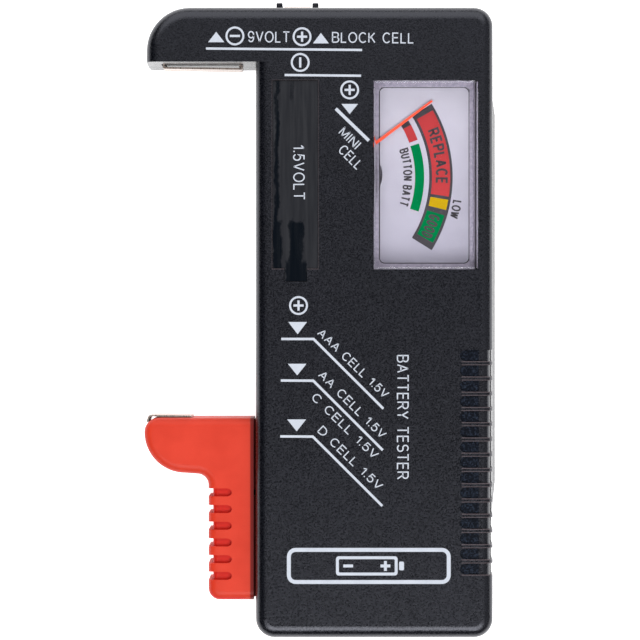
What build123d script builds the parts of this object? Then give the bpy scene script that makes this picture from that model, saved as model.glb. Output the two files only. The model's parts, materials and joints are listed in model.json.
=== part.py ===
from build123d import *
from math import atan2, cos, degrees, pi, radians, sin, tan
import os

# Pocket analogue battery tester, in millimetres.
# +X runs across the front to the right, +Y towards the end with the 9 V contacts, +Z out of the dial side.
# The pieces are drawn from the front's own datum. When they are saved, they are moved so that the origin is
# under the middle of the whole tester, on the surface that its back lies on.

# ---- driving dimensions -------------------------------------------------------------------------
OVERALL_LENGTH = 110.0
OVERALL_WIDTH = 61.5
THICKNESS = 25.0
WALL = 2.0
DRAFT = 1.0  # degrees, moulding draft of the case walls
PARTING_Z = 9.2  # where the front shell meets the back shell
SHADOW_GAP = 0.2  # groove that hides the joint between the shells

BOTTOM_Y = -55.3
ARM_TIP_X = -30.55
MIDDLE_X = ARM_TIP_X + OVERALL_WIDTH / 2
MIDDLE_Y = BOTTOM_Y + OVERALL_LENGTH / 2
POST_HEIGHT = 1.05  # locating posts round the 9 V positive contact
POST_TOP_Y = BOTTOM_Y + OVERALL_LENGTH
TOP_Y = POST_TOP_Y - POST_HEIGHT
BODY_LEFT = -11.42
BODY_RIGHT = 29.85
FLARE_X = ARM_TIP_X + OVERALL_WIDTH  # foot of the back shell's flared right side
FLARE_Y = (-41.0, -29.0, 36.0, 44.0)
FLARE_Z = (0.7, 9.0)
DRAFT_RUN = 0.1  # how far the draft draws the wall in at the flare's foot
CORNER_RADIUS = 3.5
FRONT_EDGE_RADIUS = 2.0
BACK_EDGE_RADIUS = 1.5

HOOK_LEFT = -30.25
HOOK_UNDER_Y = 44.0
HOOK_CORNER_RADIUS = 7.7
HOOK_JOIN_X = 8.0  # how far the hook block reaches into the body block

INNER_FRONT_Z = THICKNESS - WALL
INNER_LEFT = BODY_LEFT + WALL

# Slot in the left wall, and the arm that slides in it.
ARM_Z = 12.5
ARM_THICKNESS = 17.0
ARM_INNER_X = BODY_LEFT - 0.2
ARM_TOP_Y = -17.3
ARM_BOTTOM_Y = -48.8
ARM_STEM_X = -19.42
ARM_EDGE_RADIUS = 1.5
TRAVEL_UP = 58.6
TRAVEL_DOWN = 3.2
NECK_WIDTH = 6.3
NECK_TOP_Y = ARM_TOP_Y - 0.3
NECK_BOTTOM_Y = ARM_BOTTOM_Y + 0.3
SLOT_TOP_Z = ARM_Z + NECK_WIDTH / 2 + 0.15
SLOT_TOP_Y = NECK_TOP_Y + TRAVEL_UP + 0.3
SLOT_BOTTOM_Y = NECK_BOTTOM_Y - TRAVEL_DOWN - 0.3
FOOT_X = (INNER_LEFT + 0.2, INNER_LEFT + 1.7)
FOOT_HALF_Z = 5.5

# Contact rail that the arm's wiper slides on, and the rib behind it.
RAIL_X = (-5.8, -5.5)
RAIL_RIB_X = (-5.5, -4.7)
RAIL_TOP_Y = 42.0
RAIL_BOTTOM_Y = -50.0
SHEET = 0.3  # contact sheet metal

# 9 V snap contacts, a PP3 battery's terminal spacing apart.
SNAP_SPACING = 12.7
SNAP_POSITIVE_X = -4.05
SNAP_NEGATIVE_X = SNAP_POSITIVE_X - SNAP_SPACING
SNAP_Z = 13.4
SNAP_LEG_OFFSET = 2.8

# Meter window and movement.
WINDOW_X = (9.05, 27.1)
WINDOW_Y = (8.28, 40.84)
WINDOW_GAP = 0.08
WINDOW_FRONT_Z = THICKNESS - 0.3
FLANGE_Z = (21.8, 22.8)
PIVOT_X = 2.2
PIVOT_Y = 24.68
DIAL_Z = (20.0, 20.3)
DIAL_NOTCH_X = 6.66
DIAL_NOTCH_RADIUS = 4.0
POINTER_Z = (20.6, 20.85)
POINTER_LENGTH = 21.3
POINTER_REST_ANGLE = 36.9
CUP_LEFT = -4.44
CUP_HALF_Y = 7.3
CUP_BACK_Z = 8.2
CUP_WALL = 0.8
TRAY_X = (8.2, 27.35)
TRAY_Y = (7.5, 41.6)
TRAY_BACK_Z = 17.5
CORE_RADIUS = 2.5
YOKE_RADII = (3.9, 4.45)
YOKE_Z = (11.4, 17.8)
COIL_Z = (11.0, 18.2)
COIL_RADII = (2.75, 3.55)
COIL_WIDTH = 2.0
STAFF_RADIUS = 0.35
PIVOT_TIP_RADIUS = 0.12
JEWEL_RADIUS = 0.8
JEWEL_HOLE_RADIUS = 0.2

# Gloss trim strip let into the front face.
STRIP_X = (-8.35, -0.45)
STRIP_Y = (8.45, 40.82)
STRIP_TAB_X = (-6.3, -2.35)
STRIP_TAB_Y = 6.2
STRIP_POCKET = 0.7
STRIP_GAP = 0.07
STRIP_PINS_Y = (14.0, 35.0)
STRIP_PIN_RADIUS = 0.55

# Grip grooves on the right edge of the case, and finger grooves on the arm.
GRIP_COUNT = 15
GRIP_PITCH = 2.62
GRIP_HEIGHT = 1.98
GRIP_TOP_Y = -5.54
GRIP_LEFT_X = 23.9
GRIP_DEPTH = 0.5
FINGER_COUNT = 6
FINGER_PITCH = 2.885
FINGER_HEIGHT = 1.4
FINGER_TOP_Y = -29.5
FINGER_RIGHT_X = -15.4
FINGER_DEPTH = 0.8

# Fasteners and the circuit board.
CASE_SCREWS = ((9.0, -45.0), (10.0, 47.4))
BOSS_RADIUS = 3.0
METER_SCREWS = ((17.5, 44.1), (17.5, 5.0))
BOARD_SCREWS = ((21.5, -11.5), (2.5, -20.0))
BOARD_X = (0.0, 24.0)
BOARD_Y = (-31.0, -9.0)
BOARD_Z = (13.0, 14.2)
LABEL_X = (-5.0, 25.0)
LABEL_Y = (-37.0, 38.0)
LABEL_POCKET = 0.2
WIRE_RADIUS = 0.55

os.makedirs("parts", exist_ok=True)


def save(name, shape):
    export_step(shape, f"parts/{name}.step")


def block(x, y, z):
    """A box between two X, two Y and two Z values."""
    size = [high - low for low, high in (x, y, z)]
    centre = [(high + low) / 2 for low, high in (x, y, z)]
    return Pos(*centre) * Box(*size)


def rod(x, y, z, radius):
    """A round bar along Z, between two Z values."""
    return Pos(x, y, (z[0] + z[1]) / 2) * Cylinder(radius, z[1] - z[0])


def bent_strip(points, bend, width, thickness, across):
    """Sheet metal bent along a path. across is the direction of its width."""
    path = FilletPolyline(*points, radius=bend)
    section = Plane(origin=path @ 0, x_dir=across, z_dir=path % 0) * Rectangle(width, thickness)
    return sweep(section, path)


def corner_radius(before, corner, after):
    """The largest gentle arc for one corner of a wire's route."""
    runs = (corner - before, after - corner)
    turn = radians(runs[0].get_angle(runs[1]))
    return 0.45 * min(run.length for run in runs) / tan(turn / 2)


def wire(points):
    """A thin insulated wire along straight runs joined by tangent arcs."""
    route = [Vector(*point) for point in points]
    radii = [corner_radius(*route[i - 1:i + 2]) for i in range(1, len(route) - 1)]
    path = FilletPolyline(*route, radius=radii)
    section = Plane(origin=path @ 0, z_dir=path % 0) * Circle(WIRE_RADIUS)
    return sweep(section, path)


# ---- case -----------------------------------------------------------------------------------------
def body_face(inset):
    """Outline of the case's body at the parting plane."""
    left, right = BODY_LEFT + inset, BODY_RIGHT - inset
    low, high = BOTTOM_Y + inset, TOP_Y - inset
    face = RectangleRounded(right - left, high - low, CORNER_RADIUS - inset)
    return Pos((left + right) / 2, (low + high) / 2) * face


def hook_face(inset):
    """Outline of the hook, carried on below its underside, where it is trimmed later."""
    left, top = HOOK_LEFT + inset, TOP_Y - inset
    low = HOOK_UNDER_Y - 4
    radius = HOOK_CORNER_RADIUS - inset
    arc = CenterArc((left + radius, top - radius), radius, 90, 90)
    sides = Polyline((left, top - radius), (left, low), (HOOK_JOIN_X, low), (HOOK_JOIN_X, top), (left + radius, top))
    return make_face([arc, sides])


def case_block(height, inset=0.0, edge_radius=0.0):
    """Body and hook together, standing on the plane Z = 0 and drafted inwards as they rise."""
    body = extrude(body_face(inset), height, taper=DRAFT)
    hook = extrude(hook_face(inset), height, taper=DRAFT)
    if edge_radius:
        body = fillet(body.edges().group_by(Axis.Z)[-1], edge_radius)
        rim = hook.edges().group_by(Axis.Z)[-1]
        outer = [e for e in rim if e.center().X < HOOK_JOIN_X - 1 and e.center().Y > HOOK_UNDER_Y - 2]
        hook = fillet(outer, edge_radius)
    keep = block((HOOK_LEFT - 5, HOOK_JOIN_X + 5), (HOOK_UNDER_Y + inset, TOP_Y + 5), (-1, height + 1))
    return body + (hook & keep)


def front_block(height, **shape):
    return Pos(0, 0, PARTING_Z) * case_block(height, **shape)


def back_block(height, **shape):
    return Pos(0, 0, PARTING_Z) * mirror(case_block(height, **shape), about=Plane.XY)


def grip_grooves():
    """Grooves that wrap from the front face round the right edge of the front shell."""
    depth_z = (PARTING_Z + 1.2, THICKNESS + 1)
    grooves = []
    for i in range(GRIP_COUNT):
        top = GRIP_TOP_Y - i * GRIP_PITCH
        radius = GRIP_HEIGHT / 2 - 0.1
        centre_x = GRIP_LEFT_X + radius
        left_end = rod(centre_x, top - GRIP_HEIGHT / 2, depth_z, radius)
        grooves += [left_end, block((centre_x, BODY_RIGHT + 2), (top - GRIP_HEIGHT, top), depth_z)]
    core = front_block(THICKNESS - PARTING_Z - GRIP_DEPTH, inset=GRIP_DEPTH,
                       edge_radius=FRONT_EDGE_RADIUS - GRIP_DEPTH)
    return [groove - core for groove in grooves]


def lip_ring(outer_inset, inner_inset, height):
    """The rim on the back shell that locates the front shell."""
    ring = front_block(height, inset=outer_inset) - front_block(height + 1, inset=inner_inset)
    z = (PARTING_Z - 1, PARTING_Z + 3)
    arm_slot = block((BODY_LEFT - 1, INNER_LEFT + 1), (SLOT_BOTTOM_Y - 1, SLOT_TOP_Y + 1), z)
    hook_slot = block((-28.2, -26.4), (HOOK_UNDER_Y, HOOK_UNDER_Y + 3), z)
    return ring.cut(arm_slot, hook_slot)


def snap_posts():
    """Four posts round the 9 V positive contact, so that a battery only fits the right way round."""
    size, spread = 1.05, 3.12
    posts = []
    for dx in (-spread, spread):
        for dz in (-spread, spread):
            x, z = SNAP_POSITIVE_X + dx, SNAP_Z + dz
            post = block((x - size / 2, x + size / 2), (TOP_Y - 1.2, POST_TOP_Y), (z - size / 2, z + size / 2))
            posts.append(fillet(post.edges().group_by(Axis.Y)[-1], 0.2))
    return posts


def snap_slots(x, width):
    """The two slots in the top wall that a snap contact's legs pass through."""
    legs = (SNAP_Z - SNAP_LEG_OFFSET, SNAP_Z + SNAP_LEG_OFFSET)
    return [block((x - width / 2, x + width / 2), (TOP_Y - WALL - 1.5, TOP_Y + 1), (z - 0.6, z + 0.6))
            for z in legs]


def front_shell():
    shell = front_block(THICKNESS - PARTING_Z, edge_radius=FRONT_EDGE_RADIUS)
    shell -= front_block(INNER_FRONT_Z - PARTING_Z, inset=WALL)
    shell -= front_block(1.2, inset=1.1)
    shell -= front_block(SHADOW_GAP) - front_block(SHADOW_GAP, inset=SHADOW_GAP)
    shell = shell.cut(*grip_grooves())
    posts_z = (BOARD_Z[1], INNER_FRONT_Z + 0.5)
    bosses = [rod(x, y, (PARTING_Z, INNER_FRONT_Z + 0.5), BOSS_RADIUS) for x, y in CASE_SCREWS]
    bosses += [rod(x, y, (FLANGE_Z[0], INNER_FRONT_Z + 0.5), 2.2) for x, y in METER_SCREWS]
    bosses += [rod(x, y, posts_z, 2.0) for x, y in BOARD_SCREWS]
    guide = block((INNER_LEFT + 0.7, INNER_LEFT + 1.9), (SLOT_BOTTOM_Y, SLOT_TOP_Y),
                  (ARM_Z + FOOT_HALF_Z + 0.2, INNER_FRONT_Z + 0.5))
    rail_rib = block(RAIL_RIB_X, (RAIL_BOTTOM_Y, RAIL_TOP_Y), (10.0, INNER_FRONT_Z + 0.5))
    shell = shell.fuse(*bosses, guide, rail_rib, *snap_posts())
    holes = [rod(x, y, (PARTING_Z - 1, 18.0), 1.15) for x, y in CASE_SCREWS]
    holes += [rod(x, y, (FLANGE_Z[0] - 1, THICKNESS - 0.7), 0.85) for x, y in METER_SCREWS]
    holes += [rod(x, y, (BOARD_Z[1] - 1, 18.5), 0.85) for x, y in BOARD_SCREWS]
    window = block(WINDOW_X, WINDOW_Y, (INNER_FRONT_Z - 1, THICKNESS + 1))
    pocket_z = (THICKNESS - STRIP_POCKET, THICKNESS + 1)
    pocket = block(STRIP_X, STRIP_Y, pocket_z)
    tab_pocket = block(STRIP_TAB_X, (STRIP_TAB_Y, STRIP_Y[0] + 1), pocket_z)
    middle_x = sum(STRIP_X) / 2
    pins = [rod(middle_x, y, (INNER_FRONT_Z - 1, THICKNESS), STRIP_PIN_RADIUS + 0.06) for y in STRIP_PINS_Y]
    pry_mark = block((middle_x - 0.8, middle_x + 0.8), (STRIP_TAB_Y - 0.75, STRIP_TAB_Y - 0.45),
                     (THICKNESS - 0.15, THICKNESS + 1))
    arm_slot = block((BODY_LEFT - 1, INNER_LEFT + 0.4), (SLOT_BOTTOM_Y, SLOT_TOP_Y), (PARTING_Z - 1, SLOT_TOP_Z))
    hook_slot = block((-27.7, -26.9), (HOOK_UNDER_Y - 1, HOOK_UNDER_Y + WALL + 1), (SNAP_Z - 4.1, SNAP_Z + 4.1))
    seat = block((SNAP_NEGATIVE_X - 4.1, SNAP_NEGATIVE_X + 4.1), (TOP_Y - 0.75, TOP_Y + 1),
                 (SNAP_Z - 3.4, SNAP_Z + 3.4))
    slots = snap_slots(SNAP_POSITIVE_X, 5.0) + snap_slots(SNAP_NEGATIVE_X, 5.0)
    return shell.cut(*holes, window, pocket, tab_pocket, *pins, pry_mark, arm_slot, hook_slot, seat, *slots)


def side_flare():
    """The back shell's right side, which spreads outwards towards the back between two ramps."""
    inside = BODY_RIGHT - WALL / 2
    ramps = list(zip((BODY_RIGHT - DRAFT_RUN, FLARE_X, FLARE_X, BODY_RIGHT - DRAFT_RUN), FLARE_Y))
    face = make_face(Polyline((inside, FLARE_Y[0]), *ramps, (inside, FLARE_Y[3]), close=True))
    height = FLARE_Z[1] - FLARE_Z[0]
    slope = atan2(FLARE_X - BODY_RIGHT, height)
    return extrude(Pos(0, 0, FLARE_Z[0]) * face, height, taper=degrees(slope))


def back_shell():
    shell = back_block(PARTING_Z, edge_radius=BACK_EDGE_RADIUS)
    shell -= back_block(PARTING_Z - WALL, inset=WALL)
    bosses = [rod(x, y, (WALL - 0.5, PARTING_Z), BOSS_RADIUS + 0.4) for x, y in CASE_SCREWS]
    guide = block((INNER_LEFT + 0.7, INNER_LEFT + 1.9), (SLOT_BOTTOM_Y, SLOT_TOP_Y),
                  (WALL - 0.5, ARM_Z - FOOT_HALF_Z - 0.2))
    shell = shell.fuse(*bosses, guide, lip_ring(1.2, 2.0, 1.0), side_flare())
    holes = [rod(x, y, (-1, 5.0), 2.6) for x, y in CASE_SCREWS]
    holes += [rod(x, y, (-1, PARTING_Z + 1), 1.4) for x, y in CASE_SCREWS]
    label_pocket = block(LABEL_X, LABEL_Y, (-1, LABEL_POCKET))
    return shell.cut(*holes, label_pocket)


def rear_label():
    gap = 0.15
    face = RectangleRounded(LABEL_X[1] - LABEL_X[0] - 2 * gap, LABEL_Y[1] - LABEL_Y[0] - 2 * gap, 1.0)
    return Pos(sum(LABEL_X) / 2, sum(LABEL_Y) / 2, 0.05) * extrude(face, LABEL_POCKET - 0.05)


def gloss_strip():
    """Polished trim plate with a tab at its lower end and two staking pins behind."""
    z = (THICKNESS - STRIP_POCKET, THICKNESS - 0.2)
    inside = [(low + STRIP_GAP, high - STRIP_GAP) for low, high in (STRIP_X, STRIP_Y, STRIP_TAB_X)]
    plate = block(inside[0], inside[1], z)
    tab = block(inside[2], (STRIP_TAB_Y + STRIP_GAP, STRIP_Y[0] + 1), z)
    pins = [rod(sum(STRIP_X) / 2, y, (INNER_FRONT_Z + 0.05, z[0]), STRIP_PIN_RADIUS) for y in STRIP_PINS_Y]
    return plate.fuse(tab, *pins)


def cross_screw(x, y, seat_z, head_radius, head_height, shank_radius, length):
    """A pan-head screw driven in +Z, with its head below seat_z."""
    head = rod(x, y, (seat_z - head_height, seat_z), head_radius)
    head = fillet(head.edges().group_by(Axis.Z)[0], head_height * 0.45)
    screw = head + rod(x, y, (seat_z, seat_z + length), shank_radius)
    recess_z = (seat_z - head_height - 1, seat_z - head_height * 0.35)
    arm, half = head_radius * 0.55, head_radius * 0.11
    recess = [block((x - arm, x + arm), (y - half, y + half), recess_z),
              block((x - half, x + half), (y - arm, y + arm), recess_z)]
    return screw.cut(*recess)


def case_screws():
    return Compound([cross_screw(x, y, 5.0, 2.3, 1.8, 1.1, 12.0) for x, y in CASE_SCREWS])


def module_screws():
    """Four small screws: two for the meter's ears and two for the circuit board."""
    seats = [(x, y, FLANGE_Z[0] - 1.5) for x, y in METER_SCREWS]
    seats += [(x, y, BOARD_Z[0]) for x, y in BOARD_SCREWS]
    return Compound([cross_screw(x, y, z, 1.6, 1.2, 0.8, 3.6) for x, y, z in seats])


# ---- sliding arm ----------------------------------------------------------------------------------
def arm_profile():
    """Outline of the arm seen from the front: a rounded nose above a straight stem."""
    nose_radius, tip_radius, root_radius, toe_radius = 7.05, 2.5, 2.0, 2.0
    nose_y = ARM_TOP_Y - tip_radius
    nose_x = ARM_TIP_X + nose_radius
    under_y = nose_y - nose_radius
    root_y = under_y - 0.15 - root_radius
    edges = [
        Polyline((ARM_STEM_X + toe_radius, ARM_BOTTOM_Y), (ARM_INNER_X, ARM_BOTTOM_Y), (ARM_INNER_X, ARM_TOP_Y),
                 (ARM_TIP_X + tip_radius, ARM_TOP_Y)),
        CenterArc((ARM_TIP_X + tip_radius, nose_y), tip_radius, 90, 90),
        CenterArc((nose_x, nose_y), nose_radius, 180, 90),
        Line((nose_x, under_y), (ARM_STEM_X - root_radius, under_y - 0.15)),
        CenterArc((ARM_STEM_X - root_radius, root_y), root_radius, 0, 90),
        Line((ARM_STEM_X, root_y), (ARM_STEM_X, ARM_BOTTOM_Y + toe_radius)),
        CenterArc((ARM_STEM_X + toe_radius, ARM_BOTTOM_Y + toe_radius), toe_radius, 180, 90),
    ]
    return make_face(edges)


def finger_grooves():
    """Grooves that wrap round the outer side of the stem."""
    inner = (ARM_Z - ARM_THICKNESS / 2 + FINGER_DEPTH, ARM_Z + ARM_THICKNESS / 2 - FINGER_DEPTH)
    core = block((ARM_STEM_X + FINGER_DEPTH, 0), (ARM_BOTTOM_Y - 1, ARM_TOP_Y), inner)
    core = fillet(core.edges().filter_by(Axis.Y).group_by(Axis.X)[0], ARM_EDGE_RADIUS - FINGER_DEPTH)
    whole = (ARM_Z - ARM_THICKNESS, ARM_Z + ARM_THICKNESS)
    radius = FINGER_HEIGHT / 2 - 0.05
    grooves = []
    for i in range(FINGER_COUNT):
        top = FINGER_TOP_Y - i * FINGER_PITCH
        end_x = FINGER_RIGHT_X - radius
        groove = block((ARM_STEM_X - 2, end_x), (top - FINGER_HEIGHT, top), whole)
        grooves.append((groove + rod(end_x, top - FINGER_HEIGHT / 2, whole, radius)) - core)
    return grooves


def slide_arm():
    arm = Pos(0, 0, ARM_Z - ARM_THICKNESS / 2) * extrude(arm_profile(), ARM_THICKNESS)
    rims = arm.edges().group_by(Axis.Z)
    outer = [e for e in (*rims[0], *rims[-1]) if e.center().X < ARM_INNER_X - 0.1]
    arm = fillet(outer, ARM_EDGE_RADIUS).cut(*finger_grooves())
    neck_z = (ARM_Z - NECK_WIDTH / 2, ARM_Z + NECK_WIDTH / 2)
    neck = block((ARM_INNER_X - 0.5, FOOT_X[0] + 0.5), (NECK_BOTTOM_Y, NECK_TOP_Y), neck_z)
    foot = block(FOOT_X, (NECK_BOTTOM_Y + 0.4, NECK_TOP_Y - 0.6), (ARM_Z - FOOT_HALF_Z, ARM_Z + FOOT_HALF_Z))
    foot = fillet(foot.edges().filter_by(Axis.X), 1.2)
    tunnel_z = (ARM_Z - 2.7, ARM_Z + 2.7)
    tunnel = block((-24.2, FOOT_X[1] + 1), (-20.25, -19.45), tunnel_z)
    riser = block((-24.2, -22.6), (-20.25, ARM_TOP_Y + 1), tunnel_z)
    relief = block((ARM_INNER_X, INNER_LEFT + 0.1), (-31.1, -29.9), (neck_z[0] - 1, neck_z[1] + 1))
    pilot = Pos(FOOT_X[1] - 1.6, -33.5, ARM_Z) * Rot(0, 90, 0) * Cylinder(0.65, 3.4)
    return arm.fuse(neck, foot).cut(tunnel, riser, relief, pilot)


def arm_contact():
    """Sprung leaf on the arm's nose, with a tail through the arm that ends against the foot."""
    tail_x = FOOT_X[1] + SHEET / 2
    leaf_y = ARM_TOP_Y + 0.05 + SHEET / 2
    tail = bent_strip([(tail_x, -35.2, ARM_Z), (tail_x, -19.85, ARM_Z), (-23.4, -19.85, ARM_Z),
                       (-23.4, leaf_y, ARM_Z), (-25.2, leaf_y, ARM_Z)], 0.4, 5.0, SHEET, (0, 0, 1))
    leaf = bent_strip([(-22.4, leaf_y, ARM_Z), (-29.7, leaf_y + 0.15, ARM_Z), (-30.1, leaf_y - 0.95, ARM_Z)],
                      0.45, 13.6, SHEET, (0, 0, 1))
    hole = Pos(tail_x, -33.5, ARM_Z) * Rot(0, 90, 0) * Cylinder(0.7, 1)
    return (tail + leaf) - hole


def rail_wiper():
    """Bowed leaf on the foot that wipes along the contact rail."""
    sheet = 0.25
    flat_x = FOOT_X[1] + SHEET + sheet / 2
    tip_x = RAIL_X[0] - 0.1 - sheet / 2
    path = [(tip_x, -26.2, ARM_Z), (tip_x, -27.8, ARM_Z), (flat_x, -30.6, ARM_Z),
            (flat_x, -36.4, ARM_Z), (tip_x, -39.2, ARM_Z), (tip_x, -40.8, ARM_Z)]
    hole = Pos(flat_x, -33.5, ARM_Z) * Rot(0, 90, 0) * Cylinder(0.7, 1)
    return bent_strip(path, 0.6, 4.0, sheet, (0, 0, 1)) - hole


def wiper_screw():
    seat = FOOT_X[1] + SHEET + 0.25
    head = Cylinder(1.15, 0.7)
    head = fillet(head.edges().group_by(Axis.Z)[-1], 0.3) - Pos(0, 0, 0.3) * Box(1.6, 0.3, 0.3)
    head = Pos(seat + 0.35, -33.5, ARM_Z) * Rot(0, 90, 0) * head
    return head + Pos(seat - 1.55, -33.5, ARM_Z) * Rot(0, 90, 0) * Cylinder(0.6, 3.1)


# ---- contacts in the case -------------------------------------------------------------------------
def contact_rail():
    """Long brass strip behind the slot, with a solder tab at its lower end."""
    x = sum(RAIL_X) / 2
    return bent_strip([(x, RAIL_TOP_Y, ARM_Z), (x, RAIL_BOTTOM_Y - 1.4, ARM_Z), (-2.6, RAIL_BOTTOM_Y - 1.4, ARM_Z)],
                      0.5, 5.0, SHEET, (0, 0, 1))


def hook_contact():
    """Sprung leaf under the hook, rolled at its free end, with a solder tail inside the hook."""
    points = [(-21.4, 47.6), (-27.3, 47.6), (-27.3, 43.42), (-13.85, 43.24), (-13.5, 43.66), (-14.2, 43.8)]
    return bent_strip([(x, y, SNAP_Z) for x, y in points], 0.2, 7.6, SHEET, (0, 0, 1))


def snap_contact(x, width, top_y):
    """Staple-shaped contact on the top wall, with its legs through the wall's two slots."""
    low, high = SNAP_Z - SNAP_LEG_OFFSET, SNAP_Z + SNAP_LEG_OFFSET
    points = [(x, 49.0, high), (x, top_y - 0.35, high), (x, top_y, high - 0.9),
              (x, top_y, low + 0.9), (x, top_y - 0.35, low), (x, 50.2, low)]
    return bent_strip(points, 0.3, width, SHEET, (1, 0, 0))


# ---- meter ----------------------------------------------------------------------------------------
def about_pivot(shape):
    return Pos(PIVOT_X, PIVOT_Y, 0) * shape


def meter_base():
    """Moulded tray behind the dial, with a deeper cup for the movement and two screw ears."""
    top = FLANGE_Z[0]
    cup_y = (PIVOT_Y - CUP_HALF_Y, PIVOT_Y + CUP_HALF_Y)
    base = block((CUP_LEFT, TRAY_X[0] + 1), cup_y, (CUP_BACK_Z, top)) + block(TRAY_X, TRAY_Y, (TRAY_BACK_Z, top))
    middle_y = sum(TRAY_Y) / 2
    base = base.fuse(*[rod(x, y, (top - 1.5, top), 2.3) for x, y in METER_SCREWS])
    base = base.fuse(*[block((x - 2.3, x + 2.3), sorted((y, middle_y + (y - middle_y) * 0.86)), (top - 1.5, top))
                       for x, y in METER_SCREWS])
    cup_inside = block((CUP_LEFT + CUP_WALL, TRAY_X[0] + 1 - CUP_WALL),
                       (cup_y[0] + CUP_WALL, cup_y[1] - CUP_WALL), (CUP_BACK_Z + 1, top + 1))
    passage = block((TRAY_X[0] - 1, TRAY_X[0] + 2), (cup_y[0] + CUP_WALL, cup_y[1] - CUP_WALL),
                    (TRAY_BACK_Z + 1, top + 1))
    tray_inside = block((TRAY_X[0] + 0.9, TRAY_X[1] - 0.9), (TRAY_Y[0] + 0.9, TRAY_Y[1] - 0.9),
                        (TRAY_BACK_Z + 1, top + 1))
    holes = [rod(x, y, (top - 2, top + 1), 1.0) for x, y in METER_SCREWS]
    base = base.cut(cup_inside, passage, tray_inside, *holes)
    pegs = [rod(x, y, (TRAY_BACK_Z + 0.5, DIAL_Z[0]), 0.8) for x in (10.8, 25.2) for y in (10.0, 39.2)]
    pillars = [block((PIVOT_X + side * 4.2 - 0.3, PIVOT_X + side * 4.2 + 0.3), (PIVOT_Y - 1.6, PIVOT_Y + 1.6),
                     (CUP_BACK_Z + 0.5, YOKE_Z[0])) for side in (-1, 1)]
    return base.fuse(*pegs, *pillars)


def meter_window():
    """Clear cover: a raised block that fills the case window, on a flange that closes the meter."""
    raised_x = (WINDOW_X[0] + WINDOW_GAP, WINDOW_X[1] - WINDOW_GAP)
    raised_y = (WINDOW_Y[0] + WINDOW_GAP, WINDOW_Y[1] - WINDOW_GAP)
    raised = block(raised_x, raised_y, (FLANGE_Z[0], WINDOW_FRONT_Z))
    raised = fillet(raised.edges().group_by(Axis.Z)[-1], 0.35)
    flange = block((CUP_LEFT, TRAY_X[0] + 2), (PIVOT_Y - CUP_HALF_Y, PIVOT_Y + CUP_HALF_Y), FLANGE_Z)
    flange += block(TRAY_X, TRAY_Y, FLANGE_Z)
    cavity_x, cavity_y = (10.2, 25.6), (9.45, 39.75)
    cavity = RectangleRounded(cavity_x[1] - cavity_x[0], cavity_y[1] - cavity_y[0], 0.7)
    cavity = Pos(sum(cavity_x) / 2, sum(cavity_y) / 2, FLANGE_Z[0] - 1) * extrude(cavity, WINDOW_FRONT_Z - FLANGE_Z[0])
    return (raised + flange) - cavity


def dial_plate():
    plate = block((TRAY_X[0] + 0.95, TRAY_X[1] - 0.95), (TRAY_Y[0] + 0.95, TRAY_Y[1] - 0.95), DIAL_Z)
    return plate - rod(DIAL_NOTCH_X, PIVOT_Y, (DIAL_Z[0] - 1, DIAL_Z[1] + 1), DIAL_NOTCH_RADIUS)


def yoke_ring():
    ring = rod(0, 0, YOKE_Z, YOKE_RADII[1]) - rod(0, 0, (YOKE_Z[0] - 1, YOKE_Z[1] + 1), YOKE_RADII[0])
    return about_pivot(ring)


def core_magnet():
    return about_pivot(rod(0, 0, (12.1, 17.1), CORE_RADIUS))


def core_spacers():
    """Two brass pieces that hold the core in the middle of the yoke, clear of the coil's sweep."""
    gap = rod(0, 0, (13.2, 16.0), YOKE_RADII[0]) - rod(0, 0, (12, 17), CORE_RADIUS)
    pieces = [gap & block(x, (-0.8, 0.8), (12, 17)) for x in ((-5, 0), (0, 5))]
    return Compound([about_pivot(piece) for piece in pieces])


def upper_bridge():
    leg_y, top_z = 6.1, 21.4
    points = [(0, -leg_y, CUP_BACK_Z + 1.05), (0, -leg_y, top_z), (0, leg_y, top_z), (0, leg_y, CUP_BACK_Z + 1.05)]
    strip = bent_strip(points, 0.5, 2.6, 0.4, (1, 0, 0))
    return about_pivot(strip - rod(0, 0, (20, 23), JEWEL_RADIUS))


def lower_bridge():
    strip = block((-1.3, 1.3), (-5.5, 5.5), (CUP_BACK_Z + 1.05, CUP_BACK_Z + 1.5))
    return about_pivot(strip - rod(0, 0, (8, 11), JEWEL_RADIUS))


def jewel_screws():
    """Bearing screws above and below the coil, each with a blind pivot hole."""
    upper = rod(0, 0, (21.05, 21.72), JEWEL_RADIUS) - rod(0, 0, (20.8, 21.45), JEWEL_HOLE_RADIUS)
    upper -= block((-1, 1), (-0.12, 0.12), (21.6, 22))
    lower = rod(0, 0, (CUP_BACK_Z + 1.05, 10.3), JEWEL_RADIUS) - rod(0, 0, (9.85, 10.5), JEWEL_HOLE_RADIUS)
    return Compound([about_pivot(upper), about_pivot(lower)])


def pointed(shape):
    """Turns a shape made along +X to the pointer's rest angle about the pivot."""
    return about_pivot(Rot(0, 0, POINTER_REST_ANGLE) * shape)


def moving_coil():
    """Square loop of fine wire that turns round the core, at right angles to the pointer."""
    half = COIL_WIDTH / 2
    outer = block((-half, half), (-COIL_RADII[1], COIL_RADII[1]), COIL_Z)
    inner = block((-half - 1, half + 1), (-COIL_RADII[0], COIL_RADII[0]), (COIL_Z[0] + 0.7, COIL_Z[1] - 0.7))
    return pointed(fillet(outer.edges().filter_by(Axis.X), 0.4) - inner)


def coil_staff():
    """Upper and lower half staffs, cemented to the coil's ends, each with a fine pivot tip."""
    upper = rod(0, 0, (COIL_Z[1], 21.0), STAFF_RADIUS) + rod(0, 0, (21.0, 21.3), PIVOT_TIP_RADIUS)
    lower = rod(0, 0, (10.4, COIL_Z[0]), STAFF_RADIUS) + rod(0, 0, (10.0, 10.4), PIVOT_TIP_RADIUS)
    return Compound([pointed(upper), pointed(lower)])


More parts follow.
